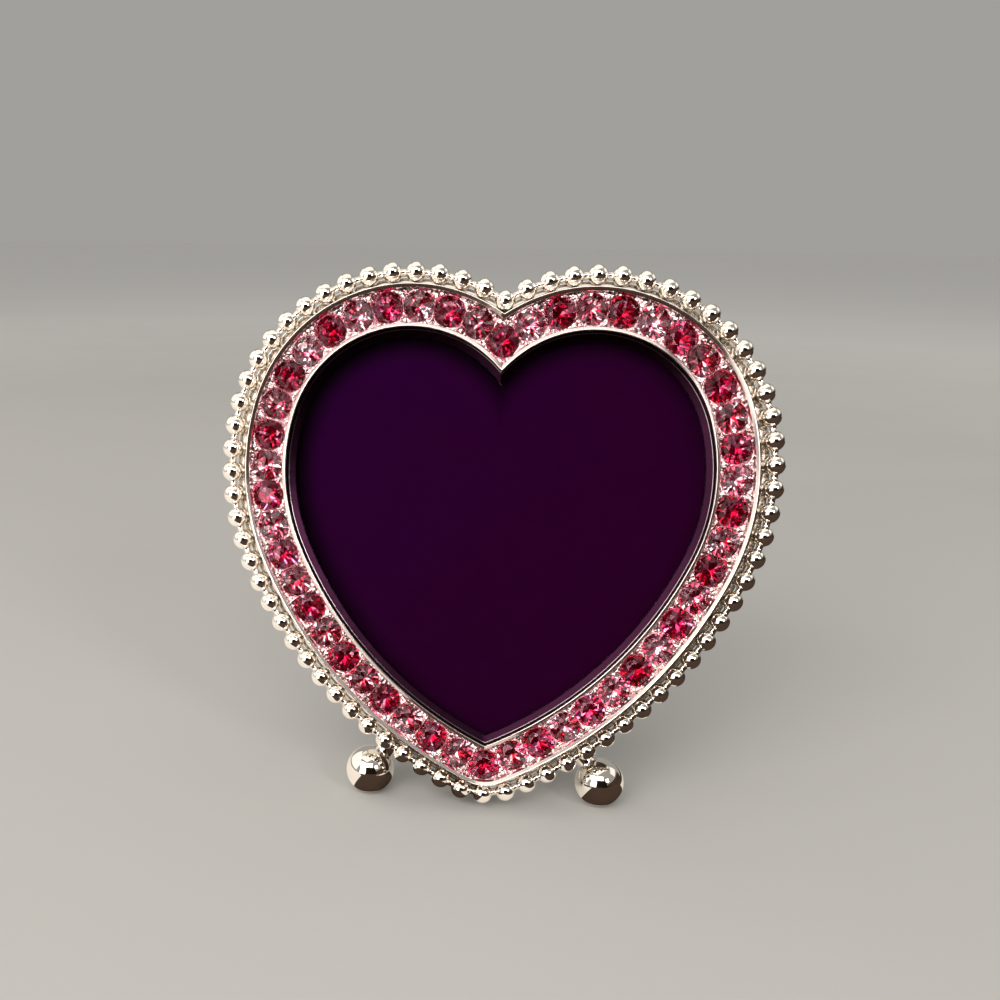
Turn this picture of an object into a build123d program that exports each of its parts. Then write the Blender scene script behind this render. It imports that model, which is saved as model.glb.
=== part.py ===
from build123d import *
import os
from math import acos, atan2, cos, degrees, radians, sin, sqrt

os.makedirs("parts", exist_ok=True)

# ---------------------------------------------------------------- driving dimensions (mm)
lean = 15.0                # the face leans back from vertical, degrees
leg_tilt = 20.0            # the open strut stands this far behind vertical, degrees
base_z = 29.5475           # height of the face origin above the table
base_y = -2.932            # face origin along the depth

# window edge of the heart: three tangent arcs for the right half
arc_a_x, arc_a_y, arc_a_r = 9.597, 7.542, 12.712
arc_ab = 16.41             # angle where the lobe arc meets the side arc
arc_b_r = 20.482
arc_bc = -24.23            # angle where the side arc meets the lower arc
arc_c_r = 41.776

# bead line: three tangent arcs and a rounded tip
bead_a_x, bead_a_y, bead_a_r = 9.829, 7.230, 18.878
bead_ab = 10.37
bead_b_r = 26.750
bead_bc = -25.44
bead_c_r = 49.244
bead_tip_r = 7.45

# section of the ring: offsets outward from the window edge, heights from the rear face
rear_rabbet = 0.90         # rear recess wall
glass_front = 2.85         # underside of the lip
lip_reach = 0.72           # the lip over the pane slopes down this far into the window
lip_top, lip_edge = 3.62, 3.28
rim_top = 5.40
rim_cap = 0.14             # height of the rounded crest of both rims
inner_rim, inner_foot = 0.30, 0.52
seat_floor = 4.55
outer_foot, outer_rim_in, outer_rim_out = 3.92, 4.12, 4.40
cove_top_o, cove_top_n = 4.78, 3.60
cove_foot = 5.20
ledge_n = 2.92
ledge_inset = 0.30         # ledge edge stays inside the bead line

# stones
stone_offset = 2.25
stones_per_half = 24
stone_r = 1.600
seat_r = 1.610
girdle_n = 4.56
girdle_h = 0.07
table_r, table_n = 0.90, 5.12
culet_r, culet_n = 0.14, 3.27

# bead border
beads_per_half = 36
bead_r = 1.07
bead_n = 3.88
core_wire_r = 0.36
link_len = 0.90             # of core wire from bead to bead

# what lies in the rear recess
fit_gap = 0.05
glass_t, photo_t, filler_t = 0.80, 0.30, 0.35

# feet
foot_u, foot_v, foot_n = 12.95, -28.22, 1.20
foot_r = 2.70
neck_r, flange_r = 1.05, 1.40

# easel
pivot_v, pivot_n = 6.00, -1.85
pin_r, knuckle_r = 0.60, 1.15
leaf_bore_r = 0.63
knuckle_half = 2.50        # half length of the middle knuckle
hinge_half = 5.20
hinge_plate_t = 0.60

# turn buttons
button_offset = 3.00
button_len, button_w, button_t = 6.60, 2.60, 0.48
button_hole_r, screw_r, screw_head_r = 0.55, 0.50, 1.00
washer_t = 0.15

# ---------------------------------------------------------------- the leaning face plane
U = Vector(1, 0, 0)
V = Vector(0, sin(radians(lean)), cos(radians(lean)))
N = Vector(0, -cos(radians(lean)), sin(radians(lean)))
FACE = Plane(origin=(0, base_y, base_z), x_dir=U, z_dir=N)


def world(u, v, n=0.0):
    return FACE.origin + U * u + V * v + N * n


def polar(c, r, t):
    return (c[0] + r * cos(radians(t)), c[1] + r * sin(radians(t)))


# centres of the tangent arcs
ca = (arc_a_x, arc_a_y)
cb = polar(ca, arc_a_r - arc_b_r, arc_ab)
cc = polar(cb, arc_b_r - arc_c_r, arc_bc)
tip_v = cc[1] - sqrt(arc_c_r**2 - cc[0] ** 2)
tip_angle = degrees(atan2(tip_v - cc[1], -cc[0]))

ba = (bead_a_x, bead_a_y)
bb = polar(ba, bead_a_r - bead_b_r, bead_ab)
bc = polar(bb, bead_b_r - bead_c_r, bead_bc)
bt = (0.0, bc[1] - sqrt((bead_c_r - bead_tip_r) ** 2 - bc[0] ** 2))
bead_tip_angle = degrees(atan2(bt[1] - bc[1], bt[0] - bc[0]))


def window_arcs(off):
    """Right half of the heart at an outward offset, notch to tip: centre, radius, first and last angle."""
    arcs = [
        (ca, arc_a_r + off, degrees(acos(-ca[0] / (arc_a_r + off))), arc_ab),
        (cb, arc_b_r + off, arc_ab, arc_bc),
    ]
    if off > 0:
        arcs.append((cc, arc_c_r + off, arc_bc, tip_angle))
        arcs.append(((0.0, tip_v), off, tip_angle, -90.0))
    else:
        arcs.append((cc, arc_c_r + off, arc_bc, -degrees(acos(-cc[0] / (arc_c_r + off)))))
    return arcs


def bead_arcs(off):
    """Right half of the bead line at an offset, notch to tip."""
    return [
        (ba, bead_a_r + off, degrees(acos(-ba[0] / (bead_a_r + off))), bead_ab),
        (bb, bead_b_r + off, bead_ab, bead_bc),
        (bc, bead_c_r + off, bead_bc, bead_tip_angle),
        (bt, bead_tip_r + off, bead_tip_angle, -90.0),
    ]


def heart_lines(arcs):
    """Draw both halves of a heart outline."""
    for c, r, t0, t1 in arcs:
        CenterArc(c, r, t1, t0 - t1)
        CenterArc((-c[0], c[1]), r, 180.0 - t0, t0 - t1)


def along(arcs, count):
    """Points that divide a half outline into equal arc lengths, both ends included."""
    spans = [abs(radians(t0 - t1)) * r for c, r, t0, t1 in arcs]
    total = sum(spans)
    pts = []
    for i in range(count + 1):
        s = total * i / count
        for k, (c, r, t0, t1) in enumerate(arcs):
            if s <= spans[k] + 1e-9 or k == len(arcs) - 1:
                pts.append(polar(c, r, t0 - degrees(min(s, spans[k]) / r)))
                break
            s -= spans[k]
    return pts


def radial_plane(c, t):
    """Plane through an arc's axis: x runs outward from the axis, y runs to the front."""
    rad = U * cos(radians(t)) + V * sin(radians(t))
    return Plane(origin=world(c[0], c[1]), x_dir=rad, z_dir=rad.cross(N))


half_stones = along(window_arcs(stone_offset), stones_per_half)
stones = half_stones + [(-u, v) for u, v in reversed(half_stones[1:-1])]
deep_stones, pale_stones = stones[0::2], stones[1::2]

half_beads = along(bead_arcs(0.0), beads_per_half)
beads = half_beads + [(-u, v) for u, v in reversed(half_beads[1:-1])]

button_sites = {}
for side, sgn in (("right", 1), ("left", -1)):
    for level, c, r, t in (("upper", ca, arc_a_r, 60.0), ("lower", cc, arc_c_r, -45.0)):
        p = polar(c, r + button_offset, t)
        inward = 180.0 + t if sgn > 0 else -t
        button_sites[f"{level}_{side}"] = (sgn * p[0], p[1], inward)


# ---------------------------------------------------------------- frame body
def ring_section(r, from_offset):
    """Section of the ring on a radial plane; the tip fan uses only the part outside the window edge."""
    rim_mid_i, rim_mid_o = inner_rim / 2, (outer_rim_in + outer_rim_out) / 2
    shoulder = rim_top - rim_cap
    if from_offset < 0:
        Polyline(
            (r, shoulder), (r, lip_top), (r - lip_reach, lip_edge), (r - lip_reach, glass_front),
            (r + rear_rabbet, glass_front), (r + rear_rabbet, 0),
        )
    else:
        Polyline((r, shoulder), (r, glass_front), (r + rear_rabbet, glass_front), (r + rear_rabbet, 0))
    ThreePointArc((r, shoulder), (r + rim_mid_i, rim_top), (r + inner_rim, shoulder))
    Polyline(
        (r + inner_rim, shoulder), (r + inner_foot, seat_floor), (r + outer_foot, seat_floor), (r + outer_rim_in, shoulder),
    )
    ThreePointArc((r + outer_rim_in, shoulder), (r + rim_mid_o, rim_top), (r + outer_rim_out, shoulder))
    Line((r + outer_rim_out, shoulder), (r + cove_top_o, cove_top_n))
    ThreePointArc(
        (r + cove_top_o, cove_top_n), (r + cove_top_o + 0.12, ledge_n + 0.28), (r + cove_foot, ledge_n),
    )
    Polyline((r + cove_foot, ledge_n), (r + cove_foot, 0), (r + rear_rabbet, 0))


with BuildPart() as frame_body:
    # the ring is turned about each arc's own axis, right half first
    for c, r, t0, t1, inner in (
        (ca, arc_a_r, 148.0, arc_ab, -1),
        (cb, arc_b_r, arc_ab, arc_bc, -1),
        (cc, arc_c_r, arc_bc, tip_angle, -1),
        ((0.0, tip_v), 0.0, tip_angle, -90.0, 0),
    ):
        with BuildSketch(radial_plane(c, t1)):
            with BuildLine():
                ring_section(r, inner)
            make_face()
        revolve(axis=Axis(world(c[0], c[1]), N), revolution_arc=t0 - t1)
    split(bisect_by=Plane(origin=FACE.origin, x_dir=V, z_dir=U), keep=Keep.TOP)
    mirror(about=Plane.YZ)
    # ledge that carries the beads
    with BuildSketch(FACE):
        with BuildLine():
            heart_lines(bead_arcs(-ledge_inset))
        make_face()
        with BuildLine():
            heart_lines(window_arcs(cove_foot - 0.6))
        make_face(mode=Mode.SUBTRACT)
    extrude(amount=ledge_n)
    # a round seat for every stone, with a conical bearing for its lower half
    with Locations(*[FACE.location * Location((u, v, girdle_n - 0.03)) for u, v in stones]):
        Cylinder(seat_r, 0.4, align=(Align.CENTER, Align.CENTER, Align.MIN), mode=Mode.SUBTRACT)
    with Locations(*[FACE.location * Location((u, v, culet_n - 0.12)) for u, v in stones]):
        Cone(0.22, seat_r, girdle_n - 0.03 - (culet_n - 0.12), align=(Align.CENTER, Align.CENTER, Align.MIN), mode=Mode.SUBTRACT)
    # screw holes for the turn buttons, from the rear
    with Locations(*[FACE.location * Location((u, v, 0)) for u, v, a in button_sites.values()]):
        Cylinder(screw_r, 2.0, align=(Align.CENTER, Align.CENTER, Align.MIN), mode=Mode.SUBTRACT)
frame_body.part.label = "frame_body"
export_step(frame_body.part, "parts/frame_body.step")

# ---------------------------------------------------------------- bead border
bead_links = []
for (u0, v0), (u1, v1) in zip(beads, beads[1:] + beads[:1]):
    chord = U * (u1 - u0) + V * (v1 - v0)
    bead_links.append(Plane(origin=world((u0 + u1) / 2, (v0 + v1) / 2, bead_n), x_dir=N, z_dir=chord))

bead_seats = []
for i, (u, v) in enumerate(beads):
    (u0, v0), (u1, v1) = beads[i - 1], beads[(i + 1) % len(beads)]
    run = degrees(atan2(v1 - v0, u1 - u0))
    bead_seats.append(FACE.location * Location((u, v, bead_n), (0, 0, run + 90)))

with BuildPart() as bead_border:
    with Locations(*[link.location for link in bead_links]):
        Cylinder(core_wire_r, link_len)
    with Locations(*bead_seats):
        Sphere(bead_r)
bead_border.part.label = "bead_border"
export_step(bead_border.part, "parts/bead_border.step")

# ---------------------------------------------------------------- stones
with BuildPart() as rose_crystals:
    with Locations(*[FACE.location * Location((u, v, culet_n)) for u, v in deep_stones]):
        Cone(culet_r, stone_r, girdle_n - culet_n, align=(Align.CENTER, Align.CENTER, Align.MIN))
    with Locations(*[FACE.location * Location((u, v, girdle_n)) for u, v in deep_stones]):
        Cylinder(stone_r, girdle_h, align=(Align.CENTER, Align.CENTER, Align.MIN))
    with Locations(*[FACE.location * Location((u, v, girdle_n + girdle_h)) for u, v in deep_stones]):
        Cone(stone_r, table_r, table_n - girdle_n - girdle_h, align=(Align.CENTER, Align.CENTER, Align.MIN))
rose_crystals.part.label = "rose_crystals"
export_step(rose_crystals.part, "parts/rose_crystals.step")

with BuildPart() as light_rose_crystals:
    with Locations(*[FACE.location * Location((u, v, culet_n)) for u, v in pale_stones]):
        Cone(culet_r, stone_r, girdle_n - culet_n, align=(Align.CENTER, Align.CENTER, Align.MIN))
    with Locations(*[FACE.location * Location((u, v, girdle_n)) for u, v in pale_stones]):
        Cylinder(stone_r, girdle_h, align=(Align.CENTER, Align.CENTER, Align.MIN))
    with Locations(*[FACE.location * Location((u, v, girdle_n + girdle_h)) for u, v in pale_stones]):
        Cone(stone_r, table_r, table_n - girdle_n - girdle_h, align=(Align.CENTER, Align.CENTER, Align.MIN))
light_rose_crystals.part.label = "light_rose_crystals"
export_step(light_rose_crystals.part, "parts/light_rose_crystals.step")

# ---------------------------------------------------------------- glass, cards and back in the rear recess
photo_front = glass_front - glass_t
filler_front = photo_front - photo_t
board_front = filler_front - filler_t

with BuildPart() as glass_pane:
    with BuildSketch(FACE.offset(photo_front)):
        with BuildLine():
            heart_lines(window_arcs(rear_rabbet - fit_gap))
        make_face()
    extrude(amount=glass_t)
glass_pane.part.label = "glass_pane"
export_step(glass_pane.part, "parts/glass_pane.step")

with BuildPart() as photo_card:
    with BuildSketch(FACE.offset(filler_front)):
        with BuildLine():
            heart_lines(window_arcs(rear_rabbet - 2 * fit_gap))
        make_face()
    extrude(amount=photo_t)
photo_card.part.label = "photo_card"
export_step(photo_card.part, "parts/photo_card.step")

with BuildPart() as filler_card:
    with BuildSketch(FACE.offset(board_front)):
        with BuildLine():
            heart_lines(window_arcs(rear_rabbet - 2 * fit_gap))
        make_face()
    extrude(amount=filler_t)
filler_card.part.label = "filler_card"
export_step(filler_card.part, "parts/filler_card.step")

hinge_rivet_sites = [(su * 4.1, pivot_v + dv) for su in (-1, 1) for dv in (-2.1, 3.1)]

with BuildPart() as back_board:
    with BuildSketch(FACE):
        with BuildLine():
            heart_lines(window_arcs(rear_rabbet - fit_gap))
        make_face()
    extrude(amount=board_front)
    with Locations(*[FACE.location * Location((u, v, 0)) for u, v in hinge_rivet_sites]):
        Cylinder(0.5, 1.1, align=(Align.CENTER, Align.CENTER, Align.MIN), mode=Mode.SUBTRACT)
back_board.part.label = "back_board"
export_step(back_board.part, "parts/back_board.step")

# ---------------------------------------------------------------- easel hinge
pivot = world(0, pivot_v, pivot_n)
PIN = Plane(origin=pivot, x_dir=V, z_dir=U)                 # x up the board, y to the front, z along the pin

with BuildPart() as hinge_plate:
    with BuildSketch(FACE.offset(-hinge_plate_t)):
        with Locations((0, pivot_v + 0.5)):
            RectangleRounded(2 * hinge_half, 8.2, 1.0)
    extrude(amount=hinge_plate_t)
    for z0 in (-hinge_half, knuckle_half + 0.1):
        with BuildSketch(PIN.offset(z0)):
            Circle(knuckle_r)
            with Locations((0, (-pivot_n - hinge_plate_t + 0.2) / 2)):
                Rectangle(2 * knuckle_r, -pivot_n - hinge_plate_t + 0.2)
            Circle(pin_r, mode=Mode.SUBTRACT)
        extrude(amount=hinge_half - knuckle_half - 0.1)
    with Locations(*[FACE.location * Location((u, v, -hinge_plate_t)) for u, v in hinge_rivet_sites]):
        Cylinder(0.5, hinge_plate_t, align=(Align.CENTER, Align.CENTER, Align.MIN), mode=Mode.SUBTRACT)
hinge_plate.part.label = "hinge_plate"
export_step(hinge_plate.part, "parts/hinge_plate.step")

with BuildPart() as hinge_pin:
    with BuildSketch(PIN.offset(-hinge_half)):
        Circle(pin_r)
    extrude(amount=2 * hinge_half)
    for z0 in (-hinge_half - 0.35, hinge_half):
        with BuildSketch(PIN.offset(z0)):
            Circle(0.95)
        extrude(amount=0.35)
    fillet(hinge_pin.part.edges().filter_by(GeomType.CIRCLE).sort_by(Axis.X)[-1], 0.2)
    fillet(hinge_pin.part.edges().filter_by(GeomType.CIRCLE).sort_by(Axis.X)[0], 0.2)
hinge_pin.part.label = "hinge_pin"
export_step(hinge_pin.part, "parts/hinge_pin.step")

with BuildPart() as hinge_rivets:
    with Locations(*[FACE.location * Location((u, v, -hinge_plate_t)) for u, v in hinge_rivet_sites]):
        Cylinder(0.5, hinge_plate_t + 1.1, align=(Align.CENTER, Align.CENTER, Align.MIN))
    with Locations(*[FACE.location * Location((u, v, -hinge_plate_t)) for u, v in hinge_rivet_sites]):
        Cone(0.55, 0.85, 0.35, align=(Align.CENTER, Align.CENTER, Align.MAX))
hinge_rivets.part.label = "hinge_rivets"
export_step(hinge_rivets.part, "parts/hinge_rivets.step")

# ---------------------------------------------------------------- easel strut, drawn open
leg_up = Vector(0, -sin(radians(leg_tilt)), cos(radians(leg_tilt)))
leg_front = Vector(0, -cos(radians(leg_tilt)), -sin(radians(leg_tilt)))
LEG = Plane(origin=pivot, x_dir=U, z_dir=leg_front)         # y up the strut, z to the board
LEG_PIN = Plane(origin=pivot, x_dir=leg_up, z_dir=U)        # x up the strut, y to the board
leg_reach = pivot.Z / cos(radians(leg_tilt))                # pivot to table along the strut
leaf_back, leaf_front, leg_back = -0.55, -0.05, -1.75
leg_rivet_sites = [(-2.2, -4.0), (2.2, -4.0), (0.0, -7.6)]

with BuildPart() as leg_leaf:
    with BuildSketch(LEG.offset(leaf_back)):
        with Locations((0, -5.7)):
            RectangleRounded(7.4, 8.0, 0.8)
        with Locations((0, -0.9)):
            Rectangle(2 * knuckle_half, 2.4)
        with Locations((0, 1.1)):
            Rectangle(2 * knuckle_half, 1.8)
    extrude(amount=leaf_front - leaf_back)
    with BuildSketch(LEG_PIN.offset(-knuckle_half)):
        Circle(knuckle_r)
    extrude(amount=2 * knuckle_half)
    with BuildSketch(LEG_PIN.offset(-knuckle_half)):
        Circle(leaf_bore_r)
    extrude(amount=2 * knuckle_half, mode=Mode.SUBTRACT)
    with Locations(*[LEG.location * Location((x, y, leaf_back)) for x, y in leg_rivet_sites]):
        Cylinder(0.5, leaf_front - leaf_back, align=(Align.CENTER, Align.CENTER, Align.MIN), mode=Mode.SUBTRACT)
leg_leaf.part.label = "leg_leaf"
export_step(leg_leaf.part, "parts/leg_leaf.step")

with BuildPart() as easel_leg:
    with BuildSketch(LEG.offset(leg_back)):
        with BuildLine():
            Polyline((-4.2, -2.3), (4.2, -2.3), (5.4, -(leg_reach - 1.6)), (-5.4, -(leg_reach - 1.6)), close=True)
        make_face()
        fillet(vertices().group_by(Axis.Y)[-1], 1.2)
    extrude(amount=leaf_back - leg_back)
    with Locations(*[LEG.location * Location((x, y, leg_back)) for x, y in leg_rivet_sites]):
        Cylinder(0.5, leaf_back - leg_back, align=(Align.CENTER, Align.CENTER, Align.MIN), mode=Mode.SUBTRACT)
easel_leg.part.label = "easel_leg"
export_step(easel_leg.part, "parts/easel_leg.step")

with BuildPart() as leg_rivets:
    with Locations(*[LEG.location * Location((x, y, leg_back)) for x, y in leg_rivet_sites]):
        Cylinder(0.5, leaf_front - leg_back, align=(Align.CENTER, Align.CENTER, Align.MIN))
    with Locations(*[LEG.location * Location((x, y, leaf_front)) for x, y in leg_rivet_sites]):
        Cone(0.8, 0.55, 0.3, align=(Align.CENTER, Align.CENTER, Align.MIN))
    with Locations(*[LEG.location * Location((x, y, leg_back)) for x, y in leg_rivet_sites]):
        Cone(0.55, 0.85, 0.35, align=(Align.CENTER, Align.CENTER, Align.MAX))
leg_rivets.part.label = "leg_rivets"
export_step(leg_rivets.part, "parts/leg_rivets.step")

with BuildPart() as leg_foot_pad:
    with BuildSketch(LEG.offset(leg_back - 0.45)):
        with Locations((0, -(leg_reach - 1.0))):
            Rectangle(12.0, 6.0)
    extrude(amount=leaf_back - leg_back + 0.9)
    with BuildSketch(LEG.offset(leg_back)):
        with BuildLine():
            Polyline((-4.2, -2.3), (4.2, -2.3), (5.4, -(leg_reach - 1.6)), (-5.4, -(leg_reach - 1.6)), close=True)
        make_face()
    extrude(amount=leaf_back - leg_back, mode=Mode.SUBTRACT)
    split(bisect_by=Plane.XY, keep=Keep.TOP)
leg_foot_pad.part.label = "leg_foot_pad"
export_step(leg_foot_pad.part, "parts/leg_foot_pad.step")

# ---------------------------------------------------------------- turn buttons
for site, (u, v, inward) in button_sites.items():
    seat = Plane(
        origin=world(u, v, -washer_t - 0.02),
        x_dir=U * cos(radians(inward)) + V * sin(radians(inward)),
        z_dir=N * -1,
    )
    with BuildPart() as turn_button:
        with BuildSketch(seat):
            with Locations((button_len / 2 - button_w / 2, 0)):
                SlotOverall(button_len, button_w)
            Circle(button_hole_r, mode=Mode.SUBTRACT)
        extrude(amount=button_t)
    turn_button.part.label = "turn_button_" + site
    export_step(turn_button.part, "parts/turn_button_" + site + ".step")

with BuildPart() as turn_button_washers:
    with BuildSketch(FACE.offset(-washer_t)):
        with Locations(*[(u, v) for u, v, a in button_sites.values()]):
            Circle(1.2)
        with Locations(*[(u, v) for u, v, a in button_sites.values()]):
            Circle(screw_r, mode=Mode.SUBTRACT)
    extrude(amount=washer_t)
turn_button_washers.part.label = "turn_button_washers"
export_step(turn_button_washers.part, "parts/turn_button_washers.step")

head_n = -washer_t - 0.04 - button_t
with BuildPart() as turn_button_screws:
    with Locations(*[FACE.location * Location((u, v, head_n)) for u, v, a in button_sites.values()]):
        Cylinder(screw_r, 1.9 - head_n, align=(Align.CENTER, Align.CENTER, Align.MIN))
    with Locations(*[FACE.location * Location((u, v, head_n)) for u, v, a in button_sites.values()]):
        Cone(0.7, screw_head_r, 0.5, align=(Align.CENTER, Align.CENTER, Align.MAX))
    with Locations(*[FACE.location * Location((u, v, head_n - 0.5)) for u, v, a in button_sites.values()]):
        Box(2.2, 0.28, 0.22, align=(Align.CENTER, Align.CENTER, Align.MIN), mode=Mode.SUBTRACT)
turn_button_screws.part.label = "turn_button_screws"
export_step(turn_button_screws.part, "parts/turn_button_screws.step")

# ---------------------------------------------------------------- ball feet on short necks
# each neck runs square to the border from the ball to the ledge's edge
border_dir = (foot_u - bc[0], foot_v - bc[1])
border_len = sqrt(border_dir[0] ** 2 + border_dir[1] ** 2)
out_u, out_v = border_dir[0] / border_len, border_dir[1] / border_len
edge_gap = border_len - (bead_c_r - ledge_inset)            # ball centre to the ledge's edge

for side, sgn in (("left", -1), ("right", 1)):
    with BuildPart() as ball_foot:
        with Locations(Location(world(sgn * foot_u, foot_v, foot_n))):
            Sphere(foot_r)
        split(bisect_by=Plane.XY, keep=Keep.TOP)
    ball_foot.part.label = "ball_foot_" + side
    export_step(ball_foot.part, "parts/ball_foot_" + side + ".step")

with BuildPart() as foot_collars:
    for sgn in (-1, 1):
        to_edge = U * (-sgn * out_u) + V * (-out_v)
        neck = Plane(origin=world(sgn * foot_u, foot_v, foot_n), x_dir=N, z_dir=to_edge)
        with BuildSketch(neck.offset(foot_r - 0.35)):
            Circle(neck_r)
        extrude(amount=edge_gap - foot_r + 0.45)
        with BuildSketch(neck.offset(edge_gap - 0.75)):
            Circle(flange_r)
        extrude(amount=0.55)
foot_collars.part.label = "foot_collars"
export_step(foot_collars.part, "parts/foot_collars.step")
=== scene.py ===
"""Heart shaped photo frame: the looks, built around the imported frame. Face sizes are in mm, Blender pieces in metres."""

from math import acos, atan2, cos, degrees, hypot, pi, radians, sin, sqrt

import bmesh
import bpy
import numpy as np
from mathutils import Matrix, Vector


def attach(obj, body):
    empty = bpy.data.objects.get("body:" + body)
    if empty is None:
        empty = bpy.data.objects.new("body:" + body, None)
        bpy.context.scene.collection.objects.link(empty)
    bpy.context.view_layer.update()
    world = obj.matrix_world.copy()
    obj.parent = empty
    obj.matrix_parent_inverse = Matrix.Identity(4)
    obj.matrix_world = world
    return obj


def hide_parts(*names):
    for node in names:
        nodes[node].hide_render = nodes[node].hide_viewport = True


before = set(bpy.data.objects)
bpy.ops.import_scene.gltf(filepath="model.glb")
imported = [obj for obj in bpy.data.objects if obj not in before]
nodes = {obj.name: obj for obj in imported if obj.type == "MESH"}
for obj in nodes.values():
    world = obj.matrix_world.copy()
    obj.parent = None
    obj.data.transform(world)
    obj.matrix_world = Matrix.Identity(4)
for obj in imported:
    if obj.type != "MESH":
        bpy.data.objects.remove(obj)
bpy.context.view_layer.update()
scene = bpy.context.scene
MM = 0.001
rng = np.random.default_rng(11)

# ---------------------------------------------------------------- the leaning face
LEAN = radians(15.0)
BASE_Y, BASE_Z = -2.932, 29.5475
U = np.array([1.0, 0.0, 0.0])
V = np.array([0.0, sin(LEAN), cos(LEAN)])
N = np.array([0.0, -cos(LEAN), sin(LEAN)])
ORIGIN = np.array([0.0, BASE_Y, BASE_Z])


def face(p):
    """Face points (u, v, n) in mm to the row frame in metres."""
    p = np.atleast_2d(np.asarray(p, float))
    return (ORIGIN + p[:, :1] * U + p[:, 1:2] * V + p[:, 2:3] * N) * MM


# ---------------------------------------------------------------- the heart's arcs
arc_a_r, arc_ab, arc_b_r, arc_bc, arc_c_r = 12.712, 16.41, 20.482, -24.23, 41.776
bead_a_r, bead_ab, bead_b_r, bead_bc, bead_c_r, bead_tip_r = 18.878, 10.37, 26.750, -25.44, 49.244, 7.45


def polar(c, r, t):
    return (c[0] + r * cos(radians(t)), c[1] + r * sin(radians(t)))


ca = (9.597, 7.542)
cb = polar(ca, arc_a_r - arc_b_r, arc_ab)
cc = polar(cb, arc_b_r - arc_c_r, arc_bc)
tip_v = cc[1] - sqrt(arc_c_r**2 - cc[0] ** 2)
tip_angle = degrees(atan2(tip_v - cc[1], -cc[0]))
ba = (9.829, 7.230)
bb = polar(ba, bead_a_r - bead_b_r, bead_ab)
bc = polar(bb, bead_b_r - bead_c_r, bead_bc)
bt = (0.0, bc[1] - sqrt((bead_c_r - bead_tip_r) ** 2 - bc[0] ** 2))
bead_tip_angle = degrees(atan2(bt[1] - bc[1], bt[0] - bc[0]))


def window_arcs(off):
    """Right half of the window line at an outward offset, notch to tip."""
    arcs = [
        (ca, arc_a_r + off, degrees(acos(-ca[0] / (arc_a_r + off))), arc_ab),
        (cb, arc_b_r + off, arc_ab, arc_bc),
    ]
    if off > 0:
        arcs += [(cc, arc_c_r + off, arc_bc, tip_angle), ((0.0, tip_v), off, tip_angle, -90.0)]
    else:
        arcs += [(cc, arc_c_r + off, arc_bc, -degrees(acos(-cc[0] / (arc_c_r + off))))]
    return arcs


def bead_arcs(off):
    """Right half of the bead line at an offset, notch to tip."""
    return [
        (ba, bead_a_r + off, degrees(acos(-ba[0] / (bead_a_r + off))), bead_ab),
        (bb, bead_b_r + off, bead_ab, bead_bc),
        (bc, bead_c_r + off, bead_bc, bead_tip_angle),
        (bt, bead_tip_r + off, bead_tip_angle, -90.0),
    ]


def along(arcs, count):
    """Points that divide a half line into equal lengths, both ends included."""
    spans = [abs(radians(t0 - t1)) * r for c, r, t0, t1 in arcs]
    pts = []
    for i in range(count + 1):
        s = sum(spans) * i / count
        for k, (c, r, t0, t1) in enumerate(arcs):
            if s <= spans[k] + 1e-9 or k == len(arcs) - 1:
                pts.append(polar(c, r, t0 - degrees(min(s, spans[k]) / r)))
                break
            s -= spans[k]
    return pts


SEG = (72, 34, 72, 20)


def heart_loop(kind, off):
    """One closed row of points round the heart: right half from notch to tip, then back up the left."""
    arcs = window_arcs(off) if kind == "w" else bead_arcs(off)
    half = []
    for k, (c, r, t0, t1) in enumerate(arcs):
        ts = np.linspace(t0, t1, SEG[k] + 1)
        half += [polar(c, r, t) for t in (ts if k == 0 else ts[1:])]
    if len(arcs) == 3:
        half += [half[-1]] * SEG[3]
    half = np.array(half)
    half[0, 0] = half[-1, 0] = 0.0
    return np.vstack([half, half[-2:0:-1] * [-1, 1]])


# ---------------------------------------------------------------- mesh helpers
def make(name, verts, faces, mats, body="frame", face_mats=None, smooth=True, sharp=None, weld=1e-8, recalc=True):
    """A piece from points in metres, riding on a CAD body."""
    me = bpy.data.meshes.new(name)
    me.from_pydata([tuple(v) for v in verts], [], [tuple(f) for f in faces])
    for m in mats:
        me.materials.append(m)
    if face_mats is not None:
        me.polygons.foreach_set("material_index", np.asarray(face_mats, np.int32))
    bm = bmesh.new()
    bm.from_mesh(me)
    if weld:
        bmesh.ops.remove_doubles(bm, verts=bm.verts, dist=weld)
        bmesh.ops.dissolve_degenerate(bm, edges=bm.edges, dist=weld)
    if recalc:
        bmesh.ops.recalc_face_normals(bm, faces=bm.faces)
    for f in bm.faces:
        f.smooth = smooth
    bm.to_mesh(me)
    bm.free()
    if smooth and sharp:
        me.set_sharp_from_angle(angle=radians(sharp))
    me.update()
    ob = bpy.data.objects.new(name, me)
    scene.collection.objects.link(ob)
    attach(ob, body)
    return ob


def value_attribute(ob, name, values, domain="POINT"):
    at = ob.data.attributes.new(name, "FLOAT", domain)
    at.data.foreach_set("value", np.asarray(values, np.float32))


def weld_up(ob, sharp):
    """Close the seams of a piece once its attributes are on."""
    bm = bmesh.new()
    bm.from_mesh(ob.data)
    bmesh.ops.remove_doubles(bm, verts=bm.verts, dist=1e-8)
    bmesh.ops.dissolve_degenerate(bm, edges=bm.edges, dist=1e-8)
    bmesh.ops.recalc_face_normals(bm, faces=bm.faces)
    bm.to_mesh(ob.data)
    bm.free()
    ob.data.set_sharp_from_angle(angle=radians(sharp))


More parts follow.
